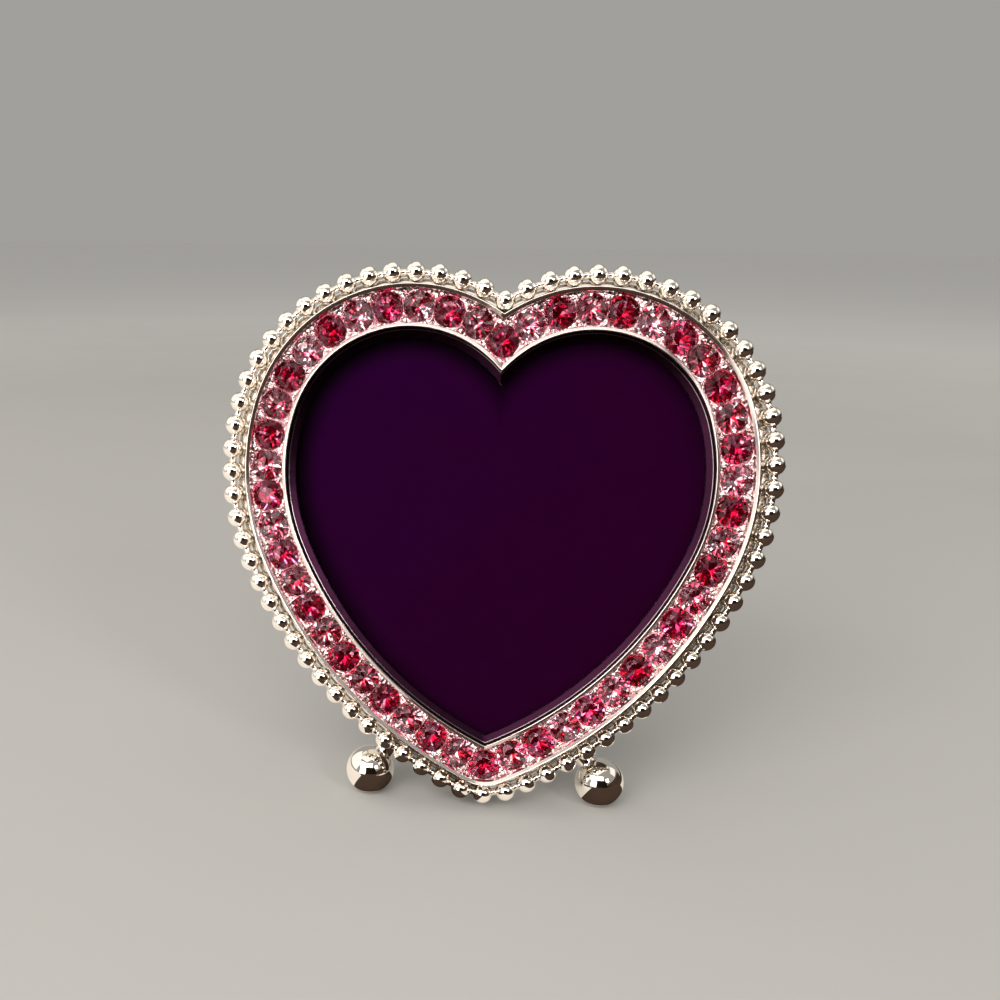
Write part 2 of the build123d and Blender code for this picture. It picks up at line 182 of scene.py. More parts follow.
def lathe(profile, axis_point, axis, segments=48):
    """Points and faces of a turned shape; profile is (radius, distance along the axis), closed on the axis at both ends."""
    axis = np.asarray(axis, float) / np.linalg.norm(axis)
    side = np.cross(axis, [0.31, 0.87, 0.22])
    side /= np.linalg.norm(side)
    other = np.cross(axis, side)
    verts, faces, rows = [], [], []
    for r, h in profile:
        row = []
        if r < 1e-9:
            row = [len(verts)] * segments
            verts.append(axis_point + axis * h)
        else:
            for k in range(segments):
                t = 2 * pi * k / segments
                row.append(len(verts))
                verts.append(axis_point + axis * h + r * (side * cos(t) + other * sin(t)))
        rows.append(row)
    for a, b in zip(rows, rows[1:]):
        for k in range(segments):
            q = [a[k], a[(k + 1) % segments], b[(k + 1) % segments], b[k]]
            f = [x for i, x in enumerate(q) if x != q[i - 1]]
            if len(f) > 2:
                faces.append(f)
    return verts, faces


def merge(parts):
    verts, faces = [], []
    for v, f in parts:
        k = len(verts)
        verts += list(v)
        faces += [[i + k for i in q] for q in f]
    return verts, faces


# ---------------------------------------------------------------- materials
class Mat:
    """A node material with one Principled shader and a few short ways to feed it."""

    def __init__(self, name):
        self.mat = bpy.data.materials.new(name)
        self.mat.use_nodes = True
        self.nt = self.mat.node_tree
        self.nt.nodes.clear()
        self.out = self.nt.nodes.new("ShaderNodeOutputMaterial")
        self.p = self.nt.nodes.new("ShaderNodeBsdfPrincipled")
        self.nt.links.new(self.p.outputs[0], self.out.inputs[0])
        self.pos = self.nt.nodes.new("ShaderNodeTexCoord").outputs["Object"]

    def set(self, **kw):
        for k, v in kw.items():
            self.p.inputs[k.replace("_", " ")].default_value = v
        return self

    def link(self, a, b):
        self.nt.links.new(a, b)

    def scaled(self, xyz):
        m = self.nt.nodes.new("ShaderNodeMapping")
        m.inputs["Scale"].default_value = xyz
        self.link(self.pos, m.inputs["Vector"])
        return m.outputs[0]

    def noise(self, scale, detail=3.0, rough=0.55, vec=None, distortion=0.0):
        n = self.nt.nodes.new("ShaderNodeTexNoise")
        n.inputs["Scale"].default_value = scale
        n.inputs["Detail"].default_value = detail
        n.inputs["Roughness"].default_value = rough
        n.inputs["Distortion"].default_value = distortion
        self.link(vec or self.pos, n.inputs["Vector"])
        return n.outputs["Fac"]

    def voronoi(self, scale, feature="F1", vec=None):
        n = self.nt.nodes.new("ShaderNodeTexVoronoi")
        n.feature = feature
        n.inputs["Scale"].default_value = scale
        self.link(vec or self.pos, n.inputs["Vector"])
        return n.outputs["Distance"]

    def attr(self, name):
        a = self.nt.nodes.new("ShaderNodeAttribute")
        a.attribute_name = name
        return a.outputs["Fac"]

    def ramp(self, fac, stops):
        r = self.nt.nodes.new("ShaderNodeValToRGB")
        el = r.color_ramp.elements
        while len(el) < len(stops):
            el.new(0.5)
        for e, (at, col) in zip(el, stops):
            e.position = at
            e.color = (*col, 1.0) if hasattr(col, "__len__") else (col, col, col, 1.0)
        self.link(fac, r.inputs[0])
        return r.outputs[0]

    def range(self, fac, a, b, lo=0.0, hi=1.0):
        m = self.nt.nodes.new("ShaderNodeMapRange")
        for i, v in zip((1, 2, 3, 4), (lo, hi, a, b)):
            m.inputs[i].default_value = v
        self.link(fac, m.inputs[0])
        return m.outputs[0]

    def math(self, op, a, b):
        m = self.nt.nodes.new("ShaderNodeMath")
        m.operation = op
        for i, x in enumerate((a, b)):
            if isinstance(x, (int, float)):
                m.inputs[i].default_value = x
            else:
                self.link(x, m.inputs[i])
        return m.outputs[0]

    def mix(self, fac, a, b, kind="MIX"):
        m = self.nt.nodes.new("ShaderNodeMix")
        m.data_type = "RGBA"
        m.blend_type = kind
        for sock, x in ((m.inputs[0], fac), (m.inputs[6], a), (m.inputs[7], b)):
            if hasattr(x, "is_output"):
                self.link(x, sock)
            else:
                sock.default_value = x if isinstance(x, (int, float)) else (*x, 1.0)
        return m.outputs[2]

    def bump(self, *layers):
        """layers are (height socket, strength, distance in metres)"""
        last = None
        for h, strength, dist in layers:
            b = self.nt.nodes.new("ShaderNodeBump")
            b.inputs["Strength"].default_value = strength
            b.inputs["Distance"].default_value = dist
            self.link(h, b.inputs["Height"])
            if last is not None:
                self.link(last, b.inputs["Normal"])
            last = b.outputs[0]
        self.link(last, self.p.inputs["Normal"])
        return self


def plated(name, tone, rough, wave, tarnish_and_painted_light=True, grain=0.0, grime_and_shade=(0.28, 0.235, 0.20)):
    """Polished silver-tone plating: a mirror with faint waves, hairline polishing marks, and recesses dulled and
    darkened by tarnish and painted shade.
    """
    m = Mat(name)
    m.set(Metallic=1.0)
    cloud = m.noise(420.0, 4.0, 0.6)
    base = m.ramp(cloud, [(0.30, [c * 0.93 for c in tone]), (0.70, tone)])
    fine = m.noise(2600.0, 2.0, 0.5)
    r = m.math("ADD", m.range(cloud, rough * 0.7, rough * 1.5, 0.3, 0.7), m.range(fine, 0.0, rough * 0.5, 0.4, 0.75))
    if tarnish_and_painted_light:
        # recess mask: darkens towards the grime colour, part tarnish, part painted shade in hollows, between parts and
        # under the balls
        t = m.attr("recess")
        grime_and_shade_mask = m.math("MULTIPLY", t, m.range(m.noise(900.0, 3.0), 0.55, 1.0, 0.35, 0.65))
        base = m.mix(grime_and_shade_mask, base, grime_and_shade)
        r = m.math("ADD", r, m.math("MULTIPLY", grime_and_shade_mask, 0.16))
        # painted reflection: the rim caps are tinted rose as if lit by the stones
        base = m.mix(m.attr("rose_reflection_paint"), base, (0.94, 0.68, 0.70))
        # painted shade: near-black purple on the inner lip and in the gap under the outer rim, with a painted purple
        # reflection on the lip
        base = m.mix(m.attr("dark_shade_paint"), base, (0.0155, 0.0040, 0.0110))
        r = m.math("ADD", r, m.math("MULTIPLY", m.attr("satin"), 0.30))
    m.link(base, m.p.inputs["Base Color"])
    m.link(r, m.p.inputs["Roughness"])
    marks = m.noise(1500.0, 2.0, 0.5, m.scaled((1.0, 1.0, 6.0)))
    layers = [(m.noise(330.0, 2.0, 0.5), wave, 0.0004), (marks, 0.02, 0.00008)]
    if grain:
        layers.append((m.voronoi(2600.0), grain, 0.00022))
    m.bump(*layers)
    return m.mat


SILVER = (0.93, 0.87, 0.80)
silver = plated("silver_plate", SILVER, 0.045, 0.10)
# the webs between the stones take on the rose light that the stones throw back
silver_grain = plated("silver_settings", (0.95, 0.67, 0.69), 0.16, 0.35, grain=0.8, grime_and_shade=(0.34, 0.15, 0.17))
silver_bead = plated("silver_beads", SILVER, 0.04, 0.07)
silver_ball = plated("silver_balls", SILVER, 0.03, 0.03)


def crystal(name, tint):
    """Clear cut crystal of the crown, faintly tinted."""
    m = Mat(name)
    m.set(Transmission_Weight=1.0, IOR=1.54, Roughness=0.0, Specular_IOR_Level=0.05, Specular_Tint=(1.0, 0.55, 0.66, 1.0))
    col = m.ramp(m.noise(700.0, 2.0), [(0.3, [min(1.0, c * 0.97) for c in tint]), (0.7, tint)])
    m.link(col, m.p.inputs["Base Color"])
    return m.mat


def foil(name, deep, middle, pale, mirror, rough=0.025):
    """Foiled back of the crystal: part mirror, part body colour. Each facet takes a random tone: the middle tone is
    body colour, the near-black and pale ends are painted dark reflections and painted glints.
    """
    m = Mat(name)
    m.set(Metallic=mirror, Specular_IOR_Level=0.3)
    t = m.math("ADD", m.math("MULTIPLY", m.attr("tone"), 0.85), m.math("MULTIPLY", m.noise(1100.0, 3.0), 0.15))
    m.link(m.ramp(t, [(0.08, deep), (0.45, middle), (0.92, pale)]), m.p.inputs["Base Color"])
    m.link(m.range(m.noise(1900.0, 2.0), rough * 0.5, rough * 1.6, 0.3, 0.7), m.p.inputs["Roughness"])
    return m.mat


rose_glass = crystal("rose_crystal_crown", (1.0, 0.80, 0.87))
rose_foil = foil("rose_crystal_foil", (0.25, 0.0002, 0.011), (0.72, 0.014, 0.125), (1.0, 0.60, 0.83), 0.84)
pale_glass = crystal("light_rose_crystal_crown", (1.0, 0.93, 0.94))
pale_foil = foil("light_rose_crystal_foil", (0.30, 0.0006, 0.013), (0.98, 0.20, 0.34), (1.0, 0.92, 0.97), 0.87)


def pane_glass():
    m = Mat("pane_glass")
    nt = m.nt
    nt.nodes.remove(m.p)
    clear = nt.nodes.new("ShaderNodeBsdfTransparent")
    clear.inputs[0].default_value = (0.96, 0.965, 0.96, 1.0)
    gloss = nt.nodes.new("ShaderNodeBsdfGlossy")
    smear = m.noise(60.0, 4.0, 0.6)
    nt.links.new(m.range(smear, 0.01, 0.05, 0.3, 0.75), gloss.inputs["Roughness"])
    fres = nt.nodes.new("ShaderNodeFresnel")
    fres.inputs["IOR"].default_value = 1.5
    mix = nt.nodes.new("ShaderNodeMixShader")
    nt.links.new(fres.outputs[0], mix.inputs[0])
    nt.links.new(clear.outputs[0], mix.inputs[1])
    nt.links.new(gloss.outputs[0], mix.inputs[2])
    nt.links.new(mix.outputs[0], m.out.inputs[0])
    return m.mat


pane = pane_glass()


def card(name, dark, light, rough, fibre, gloss=0.5):
    m = Mat(name)
    m.set(Specular_IOR_Level=gloss)
    c = m.ramp(m.noise(90.0, 5.0, 0.6), [(0.25, dark), (0.75, light)])
    m.link(c, m.p.inputs["Base Color"])
    m.link(m.range(m.noise(700.0, 3.0), rough - 0.08, rough + 0.08, 0.3, 0.7), m.p.inputs["Roughness"])
    m.bump((m.noise(1800.0, 4.0, 0.7, m.scaled((1.0, 1.0, 3.0))), fibre, 0.00006))
    return m.mat


def purple_print():
    """Matt purple paper, more violet at the upper left and plum towards the lower right, with a painted shadow of the
    rim darkening it inwards from its upper and left edges.
    """
    m = Mat("purple_card")
    m.set(Specular_IOR_Level=0.0)
    xyz = m.nt.nodes.new("ShaderNodeSeparateXYZ")
    m.link(m.pos, xyz.inputs[0])
    t = m.math("ADD", m.range(xyz.outputs[0], 0.62, -0.02, -0.024, 0.024), m.range(xyz.outputs[2], -0.10, 0.40, 0.005, 0.050))
    t = m.math("ADD", t, m.range(m.noise(70.0, 4.0, 0.55), -0.14, 0.14, 0.3, 0.7))
    m.link(m.ramp(t, [(0.10, (0.0276, 0.0001, 0.0221)), (0.50, (0.0281, 0.0001, 0.0281)), (0.90, (0.0262, 0.0001, 0.0359))]), m.p.inputs["Base Color"])
    base = m.p.inputs["Base Color"].links[0].from_socket
    m.link(m.mix(m.math("MULTIPLY", m.attr("rim_shadow_paint"), 0.85), base, (0.002, 0.0001, 0.002)), m.p.inputs["Base Color"])
    m.link(m.range(m.noise(700.0, 3.0), 0.55, 0.70, 0.3, 0.7), m.p.inputs["Roughness"])
    m.bump((m.noise(1800.0, 4.0, 0.7, m.scaled((1.0, 1.0, 3.0))), 0.15, 0.00006))
    return m.mat


purple = purple_print()
grey_card = card("grey_card", (0.30, 0.27, 0.23), (0.46, 0.42, 0.37), 0.85, 0.5)


def flock(name):
    """Short black pile: soft sheen, fine nap and faint brushed patches."""
    m = Mat(name)
    m.set(Sheen_Weight=0.55, Sheen_Roughness=0.45, Sheen_Tint=(0.75, 0.72, 0.80, 1.0), Specular_IOR_Level=0.2)
    nap = m.noise(130.0, 5.0, 0.65, distortion=0.6)
    pile = m.voronoi(5200.0)
    c = m.ramp(nap, [(0.25, (0.006, 0.006, 0.0065)), (0.55, (0.013, 0.0125, 0.0135)), (0.80, (0.024, 0.023, 0.025))])
    c = m.mix(m.range(pile, 0.0, 0.55, 0.25, 0.7), c, (0.034, 0.032, 0.035))
    m.link(c, m.p.inputs["Base Color"])
    m.link(m.range(nap, 0.80, 0.98, 0.3, 0.7), m.p.inputs["Roughness"])
    m.bump((pile, 0.8, 0.00012), (m.noise(2400.0, 4.0, 0.7), 0.5, 0.00010))
    return m.mat


flock_back = flock("flocked_board")
flock_leg = flock("flocked_leg")


def brushed(name, tone, rough, stretch):
    m = Mat(name)
    m.set(Metallic=1.0)
    streak = m.noise(900.0, 4.0, 0.7, m.scaled(stretch))
    stain = m.noise(240.0, 4.0, 0.6)
    c = m.ramp(streak, [(0.3, [x * 0.80 for x in tone]), (0.7, tone)])
    c = m.mix(m.range(stain, 0.0, 0.35, 0.55, 0.8), c, [x * 0.55 for x in tone])
    m.link(c, m.p.inputs["Base Color"])
    m.link(m.math("ADD", m.range(streak, rough - 0.08, rough + 0.10, 0.3, 0.7), m.range(stain, 0.0, 0.12, 0.5, 0.8)), m.p.inputs["Roughness"])
    m.bump((streak, 0.12, 0.00004))
    return m.mat


hinge_steel = brushed("hinge_steel", (0.62, 0.61, 0.60), 0.30, (0.12, 3.0, 3.0))
rivet_steel = brushed("rivet_steel", (0.70, 0.69, 0.67), 0.22, (2.0, 2.0, 2.0))
clip_steel = brushed("clip_steel", (0.60, 0.60, 0.59), 0.28, (3.0, 0.4, 0.4))
screw_brass = brushed("screw_brass", (0.80, 0.58, 0.26), 0.24, (2.5, 2.5, 2.5))


def rubber(name):
    m = Mat(name)
    m.set(Specular_IOR_Level=0.35)
    dust = m.noise(380.0, 5.0, 0.65)
    c = m.ramp(dust, [(0.3, (0.012, 0.012, 0.012)), (0.75, (0.032, 0.031, 0.030))])
    m.link(c, m.p.inputs["Base Color"])
    m.link(m.range(dust, 0.62, 0.85, 0.3, 0.75), m.p.inputs["Roughness"])
    m.bump((m.noise(2200.0, 3.0, 0.6), 0.35, 0.00008))
    return m.mat


pad_rubber = rubber("pad_rubber")


def dress(node, mat):
    ob = nodes[node]
    ob.data.materials.clear()
    ob.data.materials.append(mat)


for node, mat in {
    "filler_card": grey_card,
    "back_board": flock_back,
    "easel_leg": flock_leg,
    "hinge_plate": hinge_steel,
    "hinge_pin": rivet_steel,
    "hinge_rivets": rivet_steel,
    "leg_leaf": hinge_steel,
    "leg_rivets": rivet_steel,
    "leg_foot_pad": pad_rubber,
    "turn_button_upper_left": clip_steel,
    "turn_button_upper_right": clip_steel,
    "turn_button_lower_left": clip_steel,
    "turn_button_lower_right": clip_steel,
    "turn_button_screws": screw_brass,
    "turn_button_washers": screw_brass,
}.items():
    dress(node, mat)

for node, width in {
    "easel_leg": 0.16,
    "leg_foot_pad": 0.30,
    "back_board": 0.16,
    "hinge_plate": 0.07,
    "leg_leaf": 0.07,
    "turn_button_upper_left": 0.08,
    "turn_button_upper_right": 0.08,
    "turn_button_lower_left": 0.08,
    "turn_button_lower_right": 0.08,
}.items():
    ease = nodes[node].modifiers.new("eased_edges", "BEVEL")
    ease.width = width * MM
    ease.segments = 2
    ease.limit_method = "ANGLE"
    ease.angle_limit = radians(40)
    ease.harden_normals = True

# ---------------------------------------------------------------- frame body: the cast ring
RIM_TOP, SHOULDER = 5.40, 5.26
LIP_REACH, LIP_TOP, LIP_EDGE, GLASS_FRONT, RABBET = 0.72, 3.62, 3.28, 2.85, 0.90
INNER_RIM, INNER_FOOT = 0.42, 0.54
OUTER_FOOT, OUTER_IN, OUTER_OUT = 3.92, 4.03, 4.43
FLOOR, SEAT = 3.10, 4.60


def ridge(points):
    """Rows of a rim whose crest leans over to one side and falls to the stones as a bevel."""
    return [("w", off, n, 0.0, 0.3, 0.0) for off, n in points]


def tight(points, gap=0.025):
    """Rows just inside both ends of every long straight run, so that its face shades flat."""
    out = []
    for p, q in zip(points, points[1:] + points[:1]):
        out.append(p)
        span = hypot(q[1] - p[1], q[2] - p[2])
        if p[0] == q[0] and span > 0.12:
            out += [(p[0], *(x + (y - x) * f for x, y in zip(p[1:], q[1:]))) for f in (gap / span, 1 - gap / span)]
    return out


# rows of the section: line, offset, height, dulling (tarnish and painted shade), satin, dark lip (painted shade and
# painted purple reflection)
section = [("w", 0.0, LIP_TOP, 0.0, 0.2, 0.5), ("w", 0.0, LIP_TOP + 0.1, 0.0, 0.0, 0.0)]
section += ridge([(0.0, 5.24), (0.012, 5.33), (0.045, 5.383), (0.09, RIM_TOP), (0.135, 5.388), (0.17, 5.365), (INNER_RIM - 0.02, 5.185), (INNER_RIM + 0.01, 5.155)])
section += [("w", INNER_FOOT, SEAT, 0.8, 0.2, 0.0), ("w", INNER_FOOT, FLOOR, 1.0, 0.0, 0.0), ("w", OUTER_FOOT, FLOOR, 1.0, 0.0, 0.0), ("w", OUTER_FOOT, SEAT, 0.8, 0.2, 0.0)]
section += ridge([(OUTER_IN - 0.01, 5.155), (OUTER_IN + 0.02, 5.185), (4.28, 5.365), (4.315, 5.388), (4.36, RIM_TOP), (4.40, 5.385), (4.425, 5.34), (OUTER_OUT, SHOULDER)])
for k in range(10):                                         # flared outer wall and cove down to the ledge
    t = radians(84.0 * k / 9)
    section.append(("w", 4.78 + 0.47 * (1 - cos(t)), 3.60 - 0.684 * sin(t), 0.15 * sin(t), 0.42, 0.0))
section += [("b", -0.42, 2.92, 0.15, 0.42, 0.0), ("b", -0.345, 2.895, 0.1, 0.4, 0.0), ("b", -0.30, 2.82, 0.1, 0.3, 0.0)]
section += [("b", -0.30, 0.16, 0.1, 0.2, 0.0), ("b", -0.345, 0.05, 0.1, 0.3, 0.0), ("b", -0.45, 0.0, 0.12, 0.5, 0.0)]
section += [("w", RABBET + 0.08, 0.0, 0.16, 0.5, 0.0), ("w", RABBET, 0.08, 0.4, 0.4, 0.0), ("w", RABBET, GLASS_FRONT, 0.8, 0.3, 0.0)]
# these lip rows carry painted shade and a painted purple reflection
section += [("w", -LIP_REACH + 0.05, GLASS_FRONT, 0.5, 0.5, 1.0), ("w", -LIP_REACH, GLASS_FRONT + 0.05, 0.2, 0.5, 1.0), ("w", -LIP_REACH, LIP_EDGE - 0.07, 0.0, 0.5, 1.0)]
section += [("w", -LIP_REACH + 0.02, LIP_EDGE - 0.02, 0.0, 0.6, 1.0), ("w", -LIP_REACH + 0.07, LIP_EDGE + 0.02, 0.0, 0.7, 1.0), ("w", -0.03, LIP_TOP - 0.014, 0.0, 0.7, 1.0)]
section = tight(section)

rows = [heart_loop(kind, off) for kind, off, *_ in section]
count = len(rows[0])
verts = np.vstack([face(np.c_[row, np.full(count, n)]) for row, (kind, off, n, *_) in zip(rows, section)])
faces = []
for i in range(len(section)):
    a, b = i * count, ((i + 1) % len(section)) * count
    for j in range(count):
        k = (j + 1) % count
        faces.append((a + j, a + k, b + k, b + j))
body = make("frame_body_polished", verts, faces, [silver], sharp=50, weld=0)
value_attribute(body, "recess", np.repeat([row[3] for row in section], count))
value_attribute(body, "satin", np.repeat([row[4] for row in section], count))
dark_shade_paint = np.repeat([row[5] for row in section], count).reshape(len(section), count)
for i, (kind, off, n, *_) in enumerate(section):            # painted shade in the narrow gap under the upper arms of the outer rim, fading out below
    if kind == "w" and OUTER_FOOT - 0.01 < off < OUTER_IN + 0.05 and n > SEAT - 0.01:
        dark_shade_paint[i] = 0.5 * np.clip((rows[i][:, 1] - 12.0) / 5.0, 0, 1)
value_attribute(body, "dark_shade_paint", dark_shade_paint.ravel())
# painted reflection: rose tint on the rim caps, stronger on the inner rim
rose_reflection_paint = [(0.4 if off < 1.0 else 0.25) if kind == "w" and n > 5.0 else 0.0 for kind, off, n, *_ in section]
value_attribute(body, "rose_reflection_paint", np.repeat(rose_reflection_paint, count))
weld_up(body, 50)
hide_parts("frame_body")

# ---------------------------------------------------------------- pane and card: flat hearts with eased edges
def plate(name, off, n0, n1, ease, mat, node, inner=()):
    rims = [(off - ease, n0), (off, n0 + ease), (off, n1 - ease), (off - ease, n1)] + [(o, n1) for o, _ in inner]
    verts = np.vstack([face(np.c_[heart_loop("w", o), np.full(count, n)]) for o, n in rims])
    last = len(rims) - 1
    faces = [tuple(range(count)), tuple(range(last * count, (last + 1) * count))]
    for i in range(last):
        a, b = i * count, (i + 1) * count
        faces += [(a + j, a + (j + 1) % count, b + (j + 1) % count, b + j) for j in range(count)]
    ob = make(name, verts, faces, [mat], sharp=30, weld=0)
    if inner:
        # painted shadow: strongest at the upper left edge, fading inwards across the inner rings
        rim_shadow_paint = []
        for o, k in [(o, 1.0) for o, _ in rims[:4]] + list(inner):
            d = heart_loop("w", o)
            d = d / np.linalg.norm(d, axis=1)[:, None]
            rim_shadow_paint += list(k * np.clip(0.42 + 0.75 * (d @ [-0.78, 0.62]), 0, 1))
        value_attribute(ob, "rim_shadow_paint", rim_shadow_paint)
    weld_up(ob, 30)
    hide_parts(node)
    return ob


plate("glass_pane_flat", RABBET - 0.05, GLASS_FRONT - 0.77, GLASS_FRONT - 0.01, 0.06, pane, "glass_pane")
plate("photo_card_flat", RABBET - 0.10, GLASS_FRONT - 1.09, GLASS_FRONT - 0.81, 0.03, purple, "photo_card", [(-0.75, 1.0), (-1.25, 0.88), (-1.8, 0.58), (-2.4, 0.24), (-3.0, 0.0)])

# ---------------------------------------------------------------- settings: webs and raised corners between the stones
STONE_OFF, STONES, STONE_R, HOLE_R = 2.25, 24, 1.612, 1.600
GIRDLE, GIRDLE_H, TABLE_R, TABLE_N, CULET_N = 4.56, 0.07, 0.90, 5.12, 3.27
stone_arcs = window_arcs(STONE_OFF)
half_stones = along(stone_arcs, STONES)
spans = [abs(radians(t0 - t1)) * r for c, r, t0, t1 in stone_arcs]
total = sum(spans)
arc_base = [(ca, arc_a_r), (cb, arc_b_r), (cc, arc_c_r), ((0.0, tip_v), 0.0)]


def across(s, off):
    """The point at an offset, square to the stone line at length s."""
    for k, (c, r, t0, t1) in enumerate(stone_arcs):
        if s <= spans[k] + 1e-9 or k == 3:
            return polar(arc_base[k][0], arc_base[k][1] + off, t0 - degrees(min(s, spans[k]) / r))
        s -= spans[k]


def wall_at_notch(s, off):
    """As across(), for the first half seat, where each offset starts at its own corner on the centre line."""
    c, r, t0, t1 = window_arcs(off)[0]
    t_end = stone_arcs[0][2] - degrees(total / STONES / 2 / stone_arcs[0][1])
    f = s / (total / STONES / 2)
    return polar(c, r, t0 + (t_end - t0) * f)


def rung(s, o0, o1):
    """Points of the line across the channel at length s, without its ends."""
    a, b = np.array(across(s, o0)), np.array(across(s, o1))
    return [tuple(a + (b - a) * k / 16) for k in range(1, 16)]


WALL_IN, WALL_OUT = INNER_FOOT - 0.02, OUTER_FOOT + 0.02
pitch = total / STONES
cells = []
for i in range(STONES + 1):
    s0, s1 = max(0.0, (i - 0.5) * pitch), min(total, (i + 0.5) * pitch)
    wall = wall_at_notch if i == 0 else across
    loop = [wall(s, WALL_OUT) for s in np.linspace(s1, s0, 19)]
    if i > 0:
        loop += rung(s0, WALL_OUT, WALL_IN)
    inner = [wall(s, WALL_IN) for s in np.linspace(s0, s1, 15)]
    loop = inner + rung(s1, WALL_IN, WALL_OUT) + loop if i < STONES else loop + inner
    cells.append((np.array(half_stones[i]), np.array(loop), 0 < i < STONES))

wall_pts = np.vstack([heart_loop("w", WALL_IN), heart_loop("w", WALL_OUT)])
ring_t = np.array([0.0, 0.05, 0.14, 0.28, 0.46, 0.66, 0.84, 1.0])
verts, faces, recess = [], [], []
for centre, loop, closed in cells:
    d = loop - centre
    dist = np.linalg.norm(d, axis=1)
    hole = centre + d / dist[:, None] * HOLE_R
    start = len(verts)
    m = len(loop)
    for t in ring_t:
        p = hole + (loop - hole) * t
        gap = np.maximum(0.0, np.linalg.norm(p - centre, axis=1) - HOLE_R)
        wall_d = np.sqrt(((p[:, None, :] - wall_pts[None]) ** 2).sum(2)).min(1)
        s = np.clip(wall_d / 0.36, 0, 1)
        s = s * s * (3 - 2 * s)
        h = 4.52 + 0.44 * (1 - np.exp(-gap / 0.20)) * (0.30 + 0.70 * s)
        verts += [tuple(x) for x in face(np.c_[p, h])]
        # painted shade: the webs darken at the hole edges and along the channel walls
        recess += list(np.clip(0.30 - gap / 0.10, 0, 0.3) + np.clip(1.0 - wall_d / 0.16, 0, 1) + 0.12)
    for a in range(len(ring_t) - 1):
        for j in range(m if closed else m - 1):
            k = (j + 1) % m
            faces.append((start + a * m + j, start + a * m + k, start + (a + 1) * m + k, start + (a + 1) * m + j))

verts = np.array(verts)
mirror_v = verts * [-1, 1, 1]
faces_m = [tuple(x + len(verts) for x in reversed(q)) for q in faces]
settings = make("stone_settings", np.vstack([verts, mirror_v]), faces + faces_m, [silver_grain], sharp=60, weld=0, recalc=False)
value_attribute(settings, "recess", np.clip(recess + recess, 0, 1))
bm = bmesh.new()
bm.from_mesh(settings.data)
bmesh.ops.remove_doubles(bm, verts=bm.verts, dist=2e-8)
bmesh.ops.dissolve_degenerate(bm, edges=bm.edges, dist=1e-8)
nrm = Vector(N)
for f in bm.faces:
    if f.normal.dot(nrm) < 0:
        f.normal_flip()
bm.to_mesh(settings.data)
bm.free()
web = settings.modifiers.new("web_thickness", "SOLIDIFY")
web.thickness, web.offset = 0.30 * MM, -1.0


# ---------------------------------------------------------------- stones: round brilliants
def brilliant():
    """One stone about its own axis, girdle centre at zero height: points, crown faces, pavilion faces."""
    c8 = cos(radians(22.5))
    top, low = TABLE_N - GIRDLE, CULET_N - GIRDLE
    slope = (top - GIRDLE_H) / (STONE_R - TABLE_R)
    star_r, pav_r = 1.235, 0.44
    star_n = top - (star_r * c8 - TABLE_R) * slope
    pslope = -low / STONE_R
    pav_n = low + pav_r * c8 * pslope

    def ring(r, n, k, shift=0.0):
        return [(r * cos(radians(360 / k * j + shift)), r * sin(radians(360 / k * j + shift)), n) for j in range(k)]

    pts = ring(TABLE_R, top, 8) + ring(star_r, star_n, 8, 22.5) + ring(STONE_R, GIRDLE_H, 16) + ring(STONE_R, 0.0, 16)
    pts += ring(pav_r, pav_n, 8, 22.5) + [(0.0, 0.0, low)]
    T, S, G, L, P, C = 0, 8, 16, 32, 48, 56
    crown = [[T + j for j in range(8)]]
    for j in range(8):
        k = (j + 1) % 8
        crown.append([T + j, S + j, T + k])
        crown.append([T + j, S + (j - 1) % 8, G + 2 * j, S + j])
        crown.append([S + j, G + 2 * j, G + 2 * j + 1])
        crown.append([S + j, G + 2 * j + 1, G + (2 * j + 2) % 16])
    crown += [[G + j, L + j, L + (j + 1) % 16, G + (j + 1) % 16] for j in range(16)]
    pav = []
    for j in range(8):
        pav.append([C, P + j, L + 2 * j, P + (j - 1) % 8])
        pav.append([P + j, L + 2 * j + 1, L + 2 * j])
        pav.append([P + j, L + (2 * j + 2) % 16, L + 2 * j + 1])
    return np.array(pts), crown, pav


stone_pts, crown_faces, pavilion_faces = brilliant()
all_stones = half_stones + [(-u, v) for u, v in reversed(half_stones[1:-1])]


def set_stones(name, sites, crown_mat, foil_mat, node, share):
    verts, faces, which, tone = [], [], [], []
    for u, v in sites:
        turn = rng.uniform(0, 45)
        tip = np.radians(rng.normal(0, 1.1, 2))
        c, s = cos(radians(turn)), sin(radians(turn))
        p = stone_pts @ np.array([[c, s, 0], [-s, c, 0], [0, 0, 1]])
        p = p @ np.array([[1, 0, tip[0]], [0, 1, tip[1]], [-tip[0], -tip[1], 1]])
        k = len(verts)
        verts += [tuple(x) for x in face(p + [u, v, GIRDLE])]
        faces += [[i + k for i in f] for f in crown_faces + pavilion_faces]
        which += [0] * len(crown_faces) + [1] * len(pavilion_faces)
        # random facet tones: painted dark reflections, body colour and painted glints
        tone += [0.5] * len(crown_faces) + list(rng.choice([0.08, 0.30, 0.55, 0.95], len(pavilion_faces), p=share) + rng.uniform(-0.06, 0.06, len(pavilion_faces)))
    ob = make(name, verts, faces, [crown_mat, foil_mat], face_mats=which, smooth=False, weld=0)
    value_attribute(ob, "tone", tone, "FACE")
    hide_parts(node)
    return ob


set_stones("rose_crystals_cut", all_stones[0::2], rose_glass, rose_foil, "rose_crystals", (0.36, 0.24, 0.17, 0.23))
set_stones("light_rose_crystals_cut", all_stones[1::2], pale_glass, pale_foil, "light_rose_crystals", (0.33, 0.11, 0.09, 0.47))

